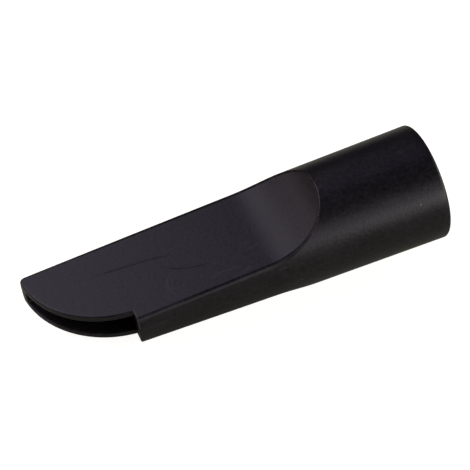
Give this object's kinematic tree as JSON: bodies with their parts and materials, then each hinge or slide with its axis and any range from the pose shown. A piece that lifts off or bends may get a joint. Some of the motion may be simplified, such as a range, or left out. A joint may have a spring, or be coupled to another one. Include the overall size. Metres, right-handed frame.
{
  "type": "flat vacuum nozzle",
  "caption": "Crevice nozzle for a vacuum cleaner: a round tapered socket that turns into a flat blade with a raked, curved slit at its tip.",
  "frame": {"origin": "centre of the socket's mouth", "axes": "+X out of the socket's mouth along its axis, +Z normal to the upper flat face's middle plane, with the short side wall at -Y"},
  "size_m": [0.1354, 0.039, 0.039],
  "materials": {
    "body": "satin black moulded plastic"
  },
  "bodies": {
    "root": {"nozzle_body": "body"}
  },
  "joints": []
}
